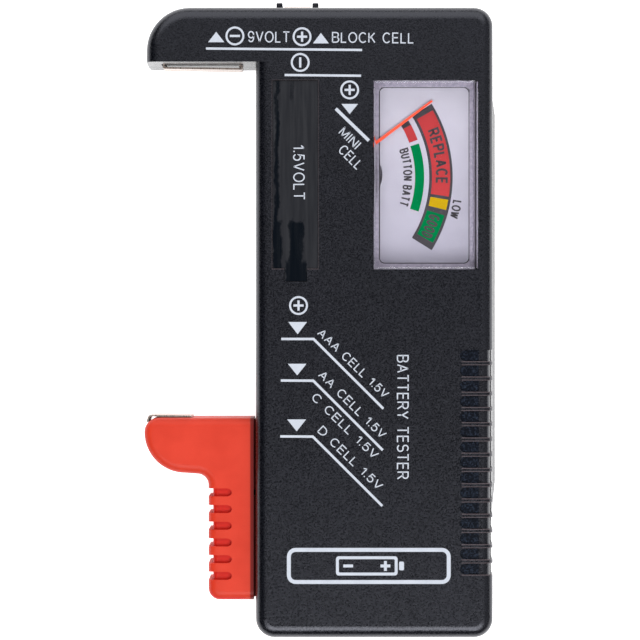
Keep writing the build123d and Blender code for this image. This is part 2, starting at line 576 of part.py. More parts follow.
def pointer():
    hub = rod(0, 0, POINTER_Z, 1.0) - rod(0, 0, (POINTER_Z[0] - 1, POINTER_Z[1] + 1), STAFF_RADIUS)
    blade = Polyline((0.8, -0.32), (POINTER_LENGTH, -0.17), (POINTER_LENGTH, 0.17), (0.8, 0.32), close=True)
    blade = Pos(0, 0, POINTER_Z[0]) * extrude(make_face(blade), POINTER_Z[1] - POINTER_Z[0])
    tail = block((-3.4, -0.8), (-0.25, 0.25), POINTER_Z)
    return pointed(hub.fuse(blade, tail))


def balance_weight():
    """Drop of solder under the pointer's tail."""
    return pointed(block((-3.3, -2.1), (-0.55, 0.55), (POINTER_Z[0] - 0.7, POINTER_Z[0])))


def hairspring(z):
    """Flat spiral spring round the staff."""
    turns, start, pitch, width = 3.5, 0.47, 0.5, 0.14
    steps = int(turns * 16)

    def side(offset):
        points = []
        for i in range(steps + 1):
            angle = 2 * pi * i / 16
            radius = start + pitch * angle / (2 * pi) + offset
            points.append((radius * cos(angle), radius * sin(angle)))
        return points

    outer, inner = side(width / 2), side(-width / 2)
    face = make_face([Spline(*outer), Line(outer[-1], inner[-1]), Spline(*reversed(inner)), Line(inner[0], outer[0])])
    return pointed(Pos(0, 0, z) * extrude(face, 0.22))


def meter_terminals():
    z = (5.9, CUP_BACK_Z)
    return Compound([rod(6.5, y, z, 0.5) for y in (20.5, 28.9)])


# ---- circuit board --------------------------------------------------------------------------------
def circuit_board():
    board = block(BOARD_X, BOARD_Y, BOARD_Z)
    return board.cut(*[rod(x, y, (BOARD_Z[0] - 1, BOARD_Z[1] + 1), 1.0) for x, y in BOARD_SCREWS])


def resistor(x, y, radius, length):
    """Axial resistor lying along X behind the board, its leads bent up to the board."""
    z = BOARD_Z[0] - radius - 0.4
    body = Pos(x, y, z) * Rot(0, 90, 0) * Cylinder(radius, length)
    body = fillet(body.edges(), radius * 0.4)
    reach = length / 2 + 1.3
    lead = Pos(x, y, z) * Rot(0, 90, 0) * Cylinder(0.28, 2 * reach)
    legs = [rod(x + side * (reach - 0.28), y, (z, BOARD_Z[0]), 0.28) for side in (-1, 1)]
    return body.fuse(lead, *legs)


def resistors():
    return Compound([resistor(12.5, -14.5, 1.1, 6.2), resistor(12.5, -18.3, 1.1, 6.2),
                     resistor(12.5, -22.1, 1.1, 6.2), resistor(12.5, -27.0, 1.7, 9.0)])


WIRES = {
    "wire_contact_rail": [(-2.6, -51.4, 12.5), (-0.6, -51.4, 12.5), (2.6, -46.6, 8.4), (4.0, -39.0, 7.8),
                          (5.2, -31.6, 9.2), (5.6, -29.0, 11.0), (5.6, -29.0, 13.0)],
    "wire_hook_contact": [(-21.4, 47.6, 13.4), (-17.4, 47.6, 13.4), (-9.6, 47.0, 9.6), (-4.6, 45.0, 5.6),
                          (-2.0, 37.5, 4.2), (-1.6, 24.0, 4.5), (-1.4, 9.0, 4.2), (-0.4, -2.0, 6.0),
                          (1.8, -9.2, 8.2), (2.0, -10.4, 11.0), (2.0, -10.4, 13.0)],
    "wire_nine_volt_positive": [(-4.05, 49.0, 16.2), (-4.05, 47.0, 16.2), (-1.4, 44.6, 9.6), (0.4, 40.0, 5.4),
                                (0.6, 31.0, 4.3), (0.7, 18.0, 4.6), (0.8, 6.0, 4.4), (2.2, -3.4, 6.4),
                                (4.4, -9.4, 8.4), (4.7, -10.6, 11.0), (4.7, -10.6, 13.0)],
    "wire_nine_volt_negative": [(-16.75, 49.0, 16.2), (-16.75, 47.2, 16.2), (-9.0, 47.2, 19.4), (-2.0, 46.9, 19.6),
                                (2.6, 45.8, 16.8), (3.8, 42.6, 11.0), (3.3, 37.6, 6.2), (2.8, 28.0, 4.4),
                                (3.0, 14.0, 4.6), (4.2, 2.0, 5.2), (7.0, -9.4, 8.2), (7.4, -10.6, 11.0),
                                (7.4, -10.6, 13.0)],
    "wire_meter_positive": [(6.5, 20.5, 5.9), (6.5, 20.5, 4.2), (7.0, 10.0, 4.2), (8.4, 0.0, 5.6),
                            (10.0, -9.4, 8.6), (10.3, -10.6, 11.0), (10.3, -10.6, 13.0)],
    "wire_meter_negative": [(6.5, 28.9, 5.9), (6.5, 28.9, 4.2), (9.2, 18.0, 4.3), (10.0, 6.0, 4.9),
                            (12.6, -9.4, 8.2), (13.2, -10.6, 11.0), (13.2, -10.6, 13.0)],
}

NODES = {
    "front_shell": front_shell(),
    "back_shell": back_shell(),
    "rear_label": rear_label(),
    "gloss_strip": gloss_strip(),
    "case_screws": case_screws(),
    "module_screws": module_screws(),
    "slide_arm": slide_arm(),
    "arm_contact": arm_contact(),
    "rail_wiper": rail_wiper(),
    "wiper_screw": wiper_screw(),
    "contact_rail": contact_rail(),
    "hook_contact": hook_contact(),
    "snap_contact_positive": snap_contact(SNAP_POSITIVE_X, 4.6, TOP_Y + 0.3),
    "snap_contact_negative": snap_contact(SNAP_NEGATIVE_X, 4.6, TOP_Y - 0.2),
    "meter_base": meter_base(),
    "meter_window": meter_window(),
    "dial_plate": dial_plate(),
    "yoke_ring": yoke_ring(),
    "core_magnet": core_magnet(),
    "core_spacers": core_spacers(),
    "upper_bridge": upper_bridge(),
    "lower_bridge": lower_bridge(),
    "jewel_screws": jewel_screws(),
    "moving_coil": moving_coil(),
    "coil_staff": coil_staff(),
    "pointer": pointer(),
    "balance_weight": balance_weight(),
    "upper_hairspring": hairspring(19.0),
    "lower_hairspring": hairspring(10.55),
    "meter_terminals": meter_terminals(),
    "circuit_board": circuit_board(),
    "resistors": resistors(),
}
NODES.update({name: wire(points) for name, points in WIRES.items()})

for node, solid in NODES.items():
    save(node, Pos(-MIDDLE_X, -MIDDLE_Y, 0) * solid)
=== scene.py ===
import json
from math import atan2, cos, hypot, pi, radians, sin

import bpy
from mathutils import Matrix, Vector


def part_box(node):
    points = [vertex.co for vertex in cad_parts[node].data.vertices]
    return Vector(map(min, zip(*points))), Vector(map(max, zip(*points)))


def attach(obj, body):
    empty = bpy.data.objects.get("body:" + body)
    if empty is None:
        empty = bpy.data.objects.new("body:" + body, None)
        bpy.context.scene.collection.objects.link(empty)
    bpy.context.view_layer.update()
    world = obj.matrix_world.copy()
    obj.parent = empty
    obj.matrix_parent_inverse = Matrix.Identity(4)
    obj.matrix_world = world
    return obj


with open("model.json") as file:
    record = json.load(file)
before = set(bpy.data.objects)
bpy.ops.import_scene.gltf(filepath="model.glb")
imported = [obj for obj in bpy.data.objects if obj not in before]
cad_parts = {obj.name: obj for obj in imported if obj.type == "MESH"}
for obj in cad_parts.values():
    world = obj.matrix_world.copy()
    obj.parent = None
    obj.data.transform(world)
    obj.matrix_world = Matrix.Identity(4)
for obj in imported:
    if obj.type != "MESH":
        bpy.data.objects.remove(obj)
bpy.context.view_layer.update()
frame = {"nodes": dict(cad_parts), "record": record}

# Lengths are in millimetres, and MM turns them into Blender's metres. Lights and camera are in metres.
MM = 0.001
INK = 0.03
DIAL_INK = 0.008
scene = bpy.context.scene
nodes = frame["nodes"]

# The print and the surface zones are laid out from the front's own datum, which the meter's cover gives.
COVER_LEFT, COVER_LOW = -4.44, 7.5
cover_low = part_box("meter_window")[0]
DATUM_X = cover_low.x / MM - COVER_LEFT
DATUM_Y = cover_low.y / MM - COVER_LOW


# ---- material helpers ---------------------------------------------------------------------------
class Look:
    """A node material on a Principled shader, with short calls for the patterns used here."""

    def __init__(self, name):
        self.material = bpy.data.materials.new(name)
        self.material.use_nodes = True
        self.tree = self.material.node_tree
        self.shader = self.tree.nodes["Principled BSDF"]
        self.output = self.tree.nodes["Material Output"]
        self.coordinates = self.node("ShaderNodeTexCoord").outputs["Object"]

    def node(self, kind, **settings):
        made = self.tree.nodes.new(kind)
        for key, value in settings.items():
            setattr(made, key, value)
        return made

    def link(self, source, target):
        self.tree.links.new(source, target)

    def fill(self, target, value):
        if isinstance(value, bpy.types.NodeSocket):
            self.link(value, target)
        else:
            target.default_value = value

    def set(self, **values):
        for key, value in values.items():
            self.fill(self.shader.inputs[key.replace("_", " ")], value)

    def stretched(self, x, y, z):
        """Object coordinates scaled per axis, in pattern cells per metre."""
        mapping = self.node("ShaderNodeMapping")
        mapping.inputs["Scale"].default_value = (x, y, z)
        self.link(self.coordinates, mapping.inputs["Vector"])
        return mapping.outputs["Vector"]

    def noise(self, cell, detail=2.0, rough=0.5, vector=None):
        """Noise whose cells are about that many millimetres across."""
        made = self.node("ShaderNodeTexNoise")
        self.link(vector or self.coordinates, made.inputs["Vector"])
        made.inputs["Scale"].default_value = 1 / (cell * MM)
        made.inputs["Detail"].default_value = detail
        made.inputs["Roughness"].default_value = rough
        return made.outputs["Fac"]

    def math(self, operation, a, b=0.0, c=0.0):
        made = self.node("ShaderNodeMath", operation=operation)
        for socket, value in zip(made.inputs, (a, b, c)):
            self.fill(socket, value)
        return made.outputs[0]

    def spread(self, value, low, high, start=0.35, end=0.65):
        """Maps a pattern's range start..end to low..high."""
        made = self.node("ShaderNodeMapRange")
        self.fill(made.inputs["Value"], value)
        for name, number in (("From Min", start), ("From Max", end), ("To Min", low), ("To Max", high)):
            self.fill(made.inputs[name], number)
        return made.outputs["Result"]

    def mix(self, factor, a, b):
        """Colour between a and b."""
        made = self.node("ShaderNodeMix", data_type="RGBA")
        self.fill(made.inputs["Factor"], factor)
        self.fill(made.inputs[6], a)
        self.fill(made.inputs[7], b)
        return made.outputs[2]

    def axes(self):
        made = self.node("ShaderNodeSeparateXYZ")
        self.link(self.coordinates, made.inputs[0])
        return made.outputs

    def above(self, value, edge, soft=0.02):
        """0 below the edge and 1 above it, in millimetres."""
        return self.spread(value, 0.0, 1.0, (edge - soft) * MM, (edge + soft) * MM)

    def below(self, value, edge, soft=0.02):
        return self.spread(value, 1.0, 0.0, (edge - soft) * MM, (edge + soft) * MM)

    def both(self, *factors):
        total = factors[0]
        for factor in factors[1:]:
            total = self.math("MULTIPLY", total, factor)
        return total

    def bump(self, height, strength=0.3, distance=0.05):
        made = self.node("ShaderNodeBump")
        made.inputs["Strength"].default_value = strength
        made.inputs["Distance"].default_value = distance * MM
        self.link(height, made.inputs["Height"])
        self.link(made.outputs["Normal"], self.shader.inputs["Normal"])


def rgb(red, green, blue):
    """Linear colour from screen values of 0 to 255."""
    def linear(value):
        share = value / 255
        return share / 12.92 if share <= 0.04045 else ((share + 0.055) / 1.055) ** 2.4
    return (linear(red), linear(green), linear(blue), 1.0)


def grained(name, light, dark, cell=0.4, rough=(0.4, 0.5), bump=0.0, metal=0.0, depth=0.03, **more):
    """A plain moulded or painted finish with grain in its colour, its roughness and its relief."""
    look = Look(name)
    grain = look.noise(cell, detail=3.0, rough=0.6)
    broad = look.noise(cell * 14, detail=2.0)
    blend = look.math("MULTIPLY_ADD", broad, 0.45, look.math("MULTIPLY", grain, 0.55))
    look.set(Base_Color=look.mix(look.spread(blend, 0.0, 1.0, 0.3, 0.7), dark, light),
             Roughness=look.spread(grain, rough[0], rough[1]), Metallic=metal)
    if bump:
        look.bump(grain, bump, depth)
    look.set(**more)
    return look


def drawn_metal(name, light, dark, rough=(0.25, 0.4), along=(1, 1, 12), cell=0.15):
    """Metal with fine lines along one axis."""
    look = Look(name)
    lines = look.noise(cell * 12, detail=4.0, rough=0.7, vector=look.stretched(*[12 / a for a in along]))
    stains = look.noise(1.8, detail=3.0)
    tone = look.math("MULTIPLY_ADD", stains, 0.4, look.math("MULTIPLY", lines, 0.6))
    look.set(Base_Color=look.mix(look.spread(tone, 0.0, 1.0, 0.32, 0.68), dark, light),
             Roughness=look.spread(lines, rough[0], rough[1]), Metallic=1.0)
    look.bump(lines, 0.12, 0.01)
    return look


# ---- materials ----------------------------------------------------------------------------------
CASE_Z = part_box("front_shell")[1].z / MM
GRIP_X = (23.85 + DATUM_X, 27.15 + DATUM_X)
GRIP_Y = (-44.5 + DATUM_Y, -5.4 + DATUM_Y)
GRIP_TOP_Y = -5.54 + DATUM_Y
GRIP_PITCH = 2.62
GRIP_HEIGHT = 1.98
RIM_WIDTH = 0.12
POCKET_RIM = 0.16
# Painted shade on the flared foot: past FOOT_X the side wall is darker and reflects less.
FOOT_X = 30.5 + DATUM_X  # past here the flared side wall is duller
# Painted shade: the finger grooves' floors are a deeper red.
FINGER_X = (-18.95 + DATUM_X, -13.0 + DATUM_X)  # the finger grooves' floors are a deeper red
FINGER_TOP_Y = -29.3 + DATUM_Y
# Painted shade: past NECK_X the arm is dark red.
NECK_X = -12.2 + DATUM_X  # past here the arm is the neck that goes into the case
# Painted shadow: past TRAY_WALL_X the meter moulding is black.
TRAY_WALL_X = 26.62 + DATUM_X
# A patch of painted shade on the rim at the dial's left edge.
SHADE_PATCH_X = 9.7 + DATUM_X
SHADE_PATCH_Y = (20.6 + DATUM_Y, 28.2 + DATUM_Y)
strip_low, strip_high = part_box("gloss_strip")


def case_plastic():
    """Grained black moulding, with painted highlights on the grip grooves' rims and round the trim's
    pocket, a painted reflection on the grooves' floors and painted shade on the flared foot.
    """
    look = Look("case_plastic")
    x, y, z = look.axes()
    grain = look.noise(0.28, detail=4.0, rough=0.65)
    broad = look.noise(7.0, detail=3.0)
    speck = look.spread(grain, 0.0, 1.0, 0.36, 0.66)
    shade = look.math("MULTIPLY_ADD", look.spread(broad, 0.0, 1.0), 0.3, look.math("MULTIPLY", speck, 0.7))
    face = look.mix(shade, rgb(1, 2, 5), rgb(12, 13, 20))
    along = look.both(look.above(y, GRIP_Y[0]), look.below(y, GRIP_Y[1]))
    groove = look.both(along, look.above(x, GRIP_X[0]), look.below(x, GRIP_X[1]),
                       look.below(z, CASE_Z - 0.25), look.above(z, CASE_Z - 0.8))
    # The grip grooves' rims are painted highlights, lighter where their edges would catch the light.
    step = look.math("MODULO", look.math("SUBTRACT", GRIP_TOP_Y * MM, y), GRIP_PITCH * MM)
    lower_rim = look.both(look.above(step, GRIP_HEIGHT - 0.04), look.below(step, GRIP_HEIGHT + RIM_WIDTH))
    upper_rim = look.above(step, GRIP_PITCH - RIM_WIDTH)
    rim_highlight = look.both(look.math("MAXIMUM", lower_rim, upper_rim), along,
                     look.above(x, GRIP_X[0] + 0.35), look.above(z, CASE_Z - 2.5))
    # A painted highlight along the edge of the trim's pocket.
    edge = look.both(look.above(x, strip_low.x / MM - POCKET_RIM),
                     look.below(x, strip_high.x / MM + POCKET_RIM),
                     look.above(y, strip_low.y / MM + 2.0), look.below(y, strip_high.y / MM + POCKET_RIM),
                     look.above(z, CASE_Z - 0.1))
    painted_highlight = look.math("MAXIMUM", look.math("MULTIPLY", rim_highlight, 0.8), look.math("MULTIPLY", edge, 0.4))
    # Painted reflection: the polished groove floors are coloured dark navy with grey streaks, as they
    # mirror the dark space above.
    groove_floor_reflection = look.mix(look.spread(grain, 0.0, 1.0, 0.48, 0.72), rgb(6, 10, 18), rgb(48, 57, 72))
    colour = look.mix(painted_highlight, look.mix(groove, face, groove_floor_reflection), rgb(88, 78, 81))
    # Painted shade: the flared foot is darker and reflects less.
    foot_shade = look.above(x, FOOT_X)
    look.set(Base_Color=look.mix(foot_shade, colour, rgb(3, 3, 5)), Specular_Tint=(0.86, 0.88, 1.0, 1.0),
             Specular_IOR_Level=look.math("SUBTRACT", 0.56, look.math("MULTIPLY", foot_shade, 0.42)),
             Roughness=look.spread(groove, look.spread(grain, 0.2, 0.36), 0.2, 0.0, 1.0))
    look.bump(look.math("MULTIPLY", grain, look.math("SUBTRACT", 1.0, groove)), 0.55, 0.05)
    return look


def gloss_plastic():
    """Polished dark grey, with painted dark navy reflections in streaks along the left edge and down the
    middle to the tab.
    """
    look = Look("gloss_plastic")
    x, y, _ = look.axes()
    left, low, high = strip_low.x / MM, strip_low.y / MM, strip_high.y / MM
    wander = look.math("MULTIPLY_ADD", look.noise(2.2, detail=3.0, rough=0.6), 1.6 * MM, -0.8 * MM)
    across = look.math("ADD", x, wander)
    lengthwise = look.math("MULTIPLY_ADD", wander, 2.0, y)
    side = look.both(look.above(across, left + 0.35, 0.12), look.below(across, left + 1.05, 0.15))
    side_low = look.both(look.above(across, left + 0.1, 0.12), look.below(across, left + 1.5, 0.2),
                         look.below(lengthwise, low + 10.5, 0.5))
    middle = look.both(look.above(across, left + 2.75, 0.15), look.below(across, left + 5.3, 0.15),
                       look.below(lengthwise, low + 10.2, 0.3))
    tab = look.both(look.above(across, left + 2.2, 0.1), look.below(across, left + 5.9, 0.1),
                    look.below(y, low + 3.4, 0.4))
    top = look.both(look.above(across, left + 3.0, 0.2), look.below(across, left + 3.7, 0.2),
                    look.above(lengthwise, high - 3.0, 0.5))
    # These streaks are painted dark navy reflections in the polished trim.
    navy_reflection_streaks = look.math("MAXIMUM", look.math("MAXIMUM", side, side_low), look.math("MAXIMUM", middle, tab))
    navy_reflection_streaks = look.math("MAXIMUM", navy_reflection_streaks, look.math("MULTIPLY", top, 0.5))
    fine = look.noise(0.5, detail=3.0, vector=look.stretched(1.0, 0.05, 1.0))
    grey = look.mix(look.spread(fine, 0.0, 1.0), rgb(38, 39, 43), rgb(44, 45, 49))
    look.set(Base_Color=look.mix(look.math("MULTIPLY", navy_reflection_streaks, 0.9), grey, rgb(3, 9, 17)),
             Roughness=look.spread(fine, 0.1, 0.2), Coat_Weight=0.3, Coat_Roughness=0.04)
    return look


def arm_plastic():
    """Orange-red moulding, with painted shade: a deeper red in the finger grooves and dark on the neck."""
    look = Look("arm_plastic")
    x, y, z = look.axes()
    low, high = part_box("slide_arm")
    grain = look.noise(0.25, detail=4.0, rough=0.6)
    broad = look.noise(5.0, detail=2.0)
    shade = look.math("MULTIPLY_ADD", look.spread(broad, 0.0, 1.0), 0.5, look.math("MULTIPLY", grain, 0.5))
    face = look.mix(shade, rgb(198, 48, 24), rgb(214, 60, 38))
    # Painted shade in the finger grooves' floors.
    inner = look.both(look.below(z, high.z / MM - 0.35), look.above(z, low.z / MM + 0.35),
                      look.above(x, FINGER_X[0]), look.below(x, FINGER_X[1]), look.below(y, FINGER_TOP_Y))
    # Painted shade on the neck, where it goes into the case.
    neck = look.above(x, NECK_X, 0.1)
    outside = look.mix(inner, face, rgb(204, 30, 14))
    look.set(Base_Color=look.mix(neck, outside, rgb(116, 16, 9)), Roughness=look.spread(grain, 0.4, 0.52),
             Specular_IOR_Level=0.25, Subsurface_Weight=0.05, Subsurface_Scale=1.0,
             Subsurface_Radius=(0.8 * MM, 0.2 * MM, 0.1 * MM))
    look.bump(grain, 0.45, 0.05)
    return look


def clear_plastic():
    """Clear moulding that lets the lamps' light through to what lies below it."""
    look = Look("clear_plastic")
    haze = look.noise(2.5, detail=3.0)
    look.set(Base_Color=look.mix(look.spread(haze, 0.0, 1.0), (0.93, 0.93, 0.96, 1), (0.97, 0.97, 1.0, 1)),
             Roughness=look.spread(look.noise(0.3), 0.0, 0.02), IOR=1.49, Transmission_Weight=1.0)
    through = look.node("ShaderNodeBsdfTransparent")
    through.inputs["Color"].default_value = (0.94, 0.94, 0.96, 1)
    chooser = look.node("ShaderNodeMixShader")
    look.link(look.node("ShaderNodeLightPath").outputs["Is Shadow Ray"], chooser.inputs[0])
    look.link(look.shader.outputs[0], chooser.inputs[1])
    look.link(through.outputs[0], chooser.inputs[2])
    look.link(chooser.outputs[0], look.output.inputs["Surface"])
    return look


def dial_paint():
    """Pale lilac enamel, with painted shade that makes it a little darker towards the dial's lower end."""
    look = Look("dial_paint")
    low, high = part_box("dial_plate")
    _, y, _ = look.axes()
    broad = look.noise(14.0, detail=1.0)
    fine = look.noise(0.2, detail=2.0)
    tone_and_shading = look.math("MULTIPLY_ADD", broad, 0.3, look.spread(y, -0.15, 0.85, low.y, high.y))
    look.set(Base_Color=look.mix(tone_and_shading, rgb(150, 147, 158), rgb(178, 175, 183)),
             Roughness=look.spread(fine, 0.45, 0.55))
    return look


def meter_plastic():
    """Grey moulding, with painted shadow black along the tray's right wall and a patch of painted shade on
    the rim to its left.
    """
    look = Look("meter_plastic")
    x, y, _ = look.axes()
    grain = look.noise(0.5, detail=3.0, rough=0.6)
    grey = look.mix(look.spread(grain, 0.0, 1.0), rgb(140, 134, 147), rgb(164, 158, 170))
    # Painted shadow in the gap along the tray's right wall.
    wall = look.above(x, TRAY_WALL_X)
    # Painted shade: the dark patch on the rim at the dial's left edge.
    shade_patch = look.both(look.above(y, SHADE_PATCH_Y[0], 1.2), look.below(y, SHADE_PATCH_Y[1], 1.6),
                       look.below(x, SHADE_PATCH_X, 0.35))
    dark = look.math("MAXIMUM", wall, look.math("MULTIPLY", shade_patch, 0.85))
    look.set(Base_Color=look.mix(dark, grey, rgb(24, 21, 24)), Roughness=look.spread(grain, 0.38, 0.5))
    look.bump(grain, 0.1, 0.03)
    return look


def coil_copper():
    look = Look("coil_copper")
    wave = look.node("ShaderNodeTexWave", wave_type="BANDS", bands_direction="X")
    look.link(look.coordinates, wave.inputs["Vector"])
    wave.inputs["Scale"].default_value = 2200
    wave.inputs["Distortion"].default_value = 0.6
    turns = wave.outputs["Fac"]
    look.set(Base_Color=look.mix(turns, rgb(110, 45, 20), rgb(205, 110, 60)), Metallic=0.9,
             Roughness=look.spread(turns, 0.45, 0.28, 0.0, 1.0))
    look.bump(turns, 0.4, 0.02)
    return look


def resistor_coating():
    """Pale lacquer with colour bands, and tinned leads beyond the body's ends."""
    look = Look("resistor_coating")
    x, _, _ = look.axes()
    bands = look.node("ShaderNodeValToRGB")
    ramp = bands.color_ramp
    ramp.interpolation = "CONSTANT"
    body = rgb(196, 172, 128)
    stops = ((0.0, body), (0.30, rgb(110, 50, 20)), (0.36, body), (0.44, rgb(25, 25, 25)), (0.50, body),
             (0.58, rgb(190, 40, 25)), (0.64, body), (0.74, rgb(180, 140, 50)), (0.80, body))
    ramp.elements[0].color = body
    ramp.elements[1].position = stops[1][0]
    ramp.elements[1].color = stops[1][1]
    for position, colour in stops[2:]:
        ramp.elements.new(position).color = colour
    look.link(look.spread(x, 0.0, 1.0, (9.0 + DATUM_X) * MM, (16.0 + DATUM_X) * MM), bands.inputs["Fac"])
    lead = look.math("MAXIMUM", look.below(x, 8.0 + DATUM_X), look.above(x, 17.0 + DATUM_X))
    lacquer = look.mix(look.spread(look.noise(0.6), 0.0, 0.25), bands.outputs["Color"], rgb(150, 130, 95))
    look.set(Base_Color=look.mix(lead, lacquer, rgb(190, 190, 188)), Metallic=lead,
             Roughness=look.spread(look.noise(0.3), 0.25, 0.4))
    return look


def board_laminate():
    look = Look("board_laminate")
    traces = look.node("ShaderNodeTexBrick")
    look.link(look.coordinates, traces.inputs["Vector"])
    traces.inputs["Scale"].default_value = 120
    traces.inputs["Color1"].default_value = rgb(20, 92, 52)
    traces.inputs["Color2"].default_value = rgb(26, 104, 60)
    traces.inputs["Mortar"].default_value = rgb(14, 70, 42)
    traces.inputs["Mortar Size"].default_value = 0.04
    weave = look.noise(0.5, detail=3.0)
    look.set(Base_Color=look.mix(look.spread(weave, 0.0, 0.4), traces.outputs["Color"], rgb(70, 120, 60)),
             Roughness=look.spread(weave, 0.3, 0.42))
    return look


def label_film():
    look = Look("label_film")
    brushed = look.noise(1.6, detail=4.0, rough=0.7, vector=look.stretched(0.05, 1.0, 1.0))
    look.set(Base_Color=look.mix(look.spread(brushed, 0.0, 1.0), rgb(178, 180, 184), rgb(205, 207, 210)),
             Roughness=look.spread(brushed, 0.34, 0.46), Metallic=0.35)
    return look


looks = {
    "case_plastic": case_plastic(),
    "gloss_plastic": gloss_plastic(),
    "arm_plastic": arm_plastic(),
    "clear_plastic": clear_plastic(),
    "dial_paint": dial_paint(),
    "coil_copper": coil_copper(),
    "resistor_coating": resistor_coating(),
    "board_laminate": board_laminate(),
    "label_film": label_film(),
    "screw_steel": drawn_metal("screw_steel", rgb(190, 190, 192), rgb(140, 140, 145)),
    "contact_steel": drawn_metal("contact_steel", rgb(214, 202, 194), rgb(180, 154, 140), along=(1, 12, 1)),
    "contact_brass": drawn_metal("contact_brass", rgb(214, 180, 100), rgb(176, 136, 66), along=(1, 12, 1)),
    "yoke_iron": drawn_metal("yoke_iron", rgb(150, 152, 155), rgb(105, 106, 110)),
    "magnet_steel": grained("magnet_steel", rgb(120, 120, 124), rgb(78, 78, 82), metal=0.8, bump=0.3),
    "bridge_aluminium": drawn_metal("bridge_aluminium", rgb(215, 216, 218), rgb(180, 182, 186),
                                    along=(1, 12, 1)),
    "hairspring_bronze": drawn_metal("hairspring_bronze", rgb(205, 160, 90), rgb(160, 112, 60)),
    "solder": grained("solder", rgb(200, 200, 202), rgb(150, 150, 156), cell=0.3, metal=1.0, bump=0.3),
    "meter_plastic": meter_plastic(),
    "pointer_paint": grained("pointer_paint", rgb(250, 78, 34), rgb(238, 66, 26), cell=0.25),
    "wire_red": grained("wire_red", rgb(196, 30, 24), rgb(160, 20, 18), rough=(0.32, 0.42)),
    "wire_black": grained("wire_black", rgb(34, 34, 36), rgb(20, 20, 22), rough=(0.32, 0.42)),
    "wire_blue": grained("wire_blue", rgb(36, 84, 176), rgb(24, 60, 140), rough=(0.32, 0.42)),
    "wire_yellow": grained("wire_yellow", rgb(232, 192, 44), rgb(204, 160, 30), rough=(0.32, 0.42)),
    "print_white": grained("print_white", rgb(200, 206, 217), rgb(180, 186, 198), cell=0.2,
                           rough=(0.45, 0.6)),
    "print_black": grained("print_black", rgb(44, 38, 44), rgb(34, 30, 34), cell=0.2),
    "print_red": grained("print_red", rgb(168, 46, 47), rgb(157, 41, 42), cell=0.2, Specular_IOR_Level=0.2),
    "print_yellow": grained("print_yellow", rgb(176, 144, 20), rgb(166, 136, 16), cell=0.2,
                            Specular_IOR_Level=0.0),
    "print_green": grained("print_green", rgb(0, 110, 58), rgb(0, 103, 54), cell=0.2,
                           Specular_IOR_Level=0.0),
}

for subpart in frame["record"]["subparts"]:
    mesh = nodes[subpart["node"]].data
    mesh.materials.clear()
    mesh.materials.append(looks[subpart["material_slot"]].material)


# ---- flat shapes, in millimetres --------------------------------------------------------------------
def bar(start, end, width):
    """A straight stroke."""
    (x0, y0), (x1, y1) = start, end
    length = hypot(x1 - x0, y1 - y0)
    nx, ny = -(y1 - y0) / length * width / 2, (x1 - x0) / length * width / 2
    return [(x0 + nx, y0 + ny), (x0 - nx, y0 - ny), (x1 - nx, y1 - ny), (x1 + nx, y1 + ny)]


def stroke(points, width):
    """A stroke along straight runs with mitred corners."""
    sides = ([], [])
    for i, (x, y) in enumerate(points):
        ahead = points[min(i + 1, len(points) - 1)]
        behind = points[max(i - 1, 0)]
        first = atan2(y - behind[1], x - behind[0]) if i else atan2(ahead[1] - y, ahead[0] - x)
        last = atan2(ahead[1] - y, ahead[0] - x) if i < len(points) - 1 else first
        turn = ((last - first + pi) % (2 * pi) - pi) / 2
        normal = first + turn + pi / 2
        reach = width / 2 / cos(turn)
        for side, sign in zip(sides, (1, -1)):
            side.append((x + sign * reach * cos(normal), y + sign * reach * sin(normal)))
    return sides[0] + sides[1][::-1]


def circle(centre, radius, steps=64):
    return [(centre[0] + radius * cos(2 * pi * i / steps), centre[1] + radius * sin(2 * pi * i / steps))
            for i in range(steps)]


def cross(centre, length, width, arms=("across", "up")):
    """A plus sign, or a bar if only one arm is asked for."""
    (x, y), a, b = centre, length / 2, width / 2
    if arms == ("across",):
        return [(x - a, y - b), (x + a, y - b), (x + a, y + b), (x - a, y + b)]
    if arms == ("up",):
        return [(x - b, y - a), (x + b, y - a), (x + b, y + a), (x - b, y + a)]
    return [(x - a, y - b), (x - b, y - b), (x - b, y - a), (x + b, y - a), (x + b, y - b), (x + a, y - b),
            (x + a, y + b), (x + b, y + b), (x + b, y + a), (x - b, y + a), (x - b, y + b), (x - a, y + b)]


def rounded(left, right, low, high, radius, steps=8):
    corners = ((right - radius, high - radius, 0), (left + radius, high - radius, 90),
               (left + radius, low + radius, 180), (right - radius, low + radius, 270))
    angles = [(x, y, radians(turn + 90 * i / steps)) for x, y, turn in corners for i in range(steps + 1)]
    return [(x + radius * cos(angle), y + radius * sin(angle)) for x, y, angle in angles]


def sector(centre, inner, outer, start, end):
    """A piece of a round band between two angles in degrees."""
    steps = max(4, int(abs(end - start)))
    angles = [radians(start + (end - start) * i / steps) for i in range(steps + 1)]
    outside = [(centre[0] + outer * cos(a), centre[1] + outer * sin(a)) for a in angles]
    inside = [(centre[0] + inner * cos(a), centre[1] + inner * sin(a)) for a in reversed(angles)]
    return outside + inside


def mesh_of(data):
    """The mesh of a curve, and nothing else left behind."""
    holder = bpy.data.objects.new("holder", data)
    scene.collection.objects.link(holder)
    bpy.context.view_layer.update()
    mesh = bpy.data.meshes.new_from_object(holder.evaluated_get(bpy.context.evaluated_depsgraph_get()))
    bpy.data.objects.remove(holder)
    return mesh


def filled(outlines, thickness):
    """A thin layer of ink with these outlines, in millimetres. An outline inside another is a hole."""
    data = bpy.data.curves.new("ink", "CURVE")
    data.dimensions = "2D"
    data.fill_mode = "BOTH"
    data.extrude = thickness / 2
    for outline in outlines:
        spline = data.splines.new("POLY")
        spline.points.add(len(outline) - 1)
        for point, (x, y) in zip(spline.points, outline):
            point.co = (x, y, 0, 1)
        spline.use_cyclic_u = True
    return mesh_of(data)


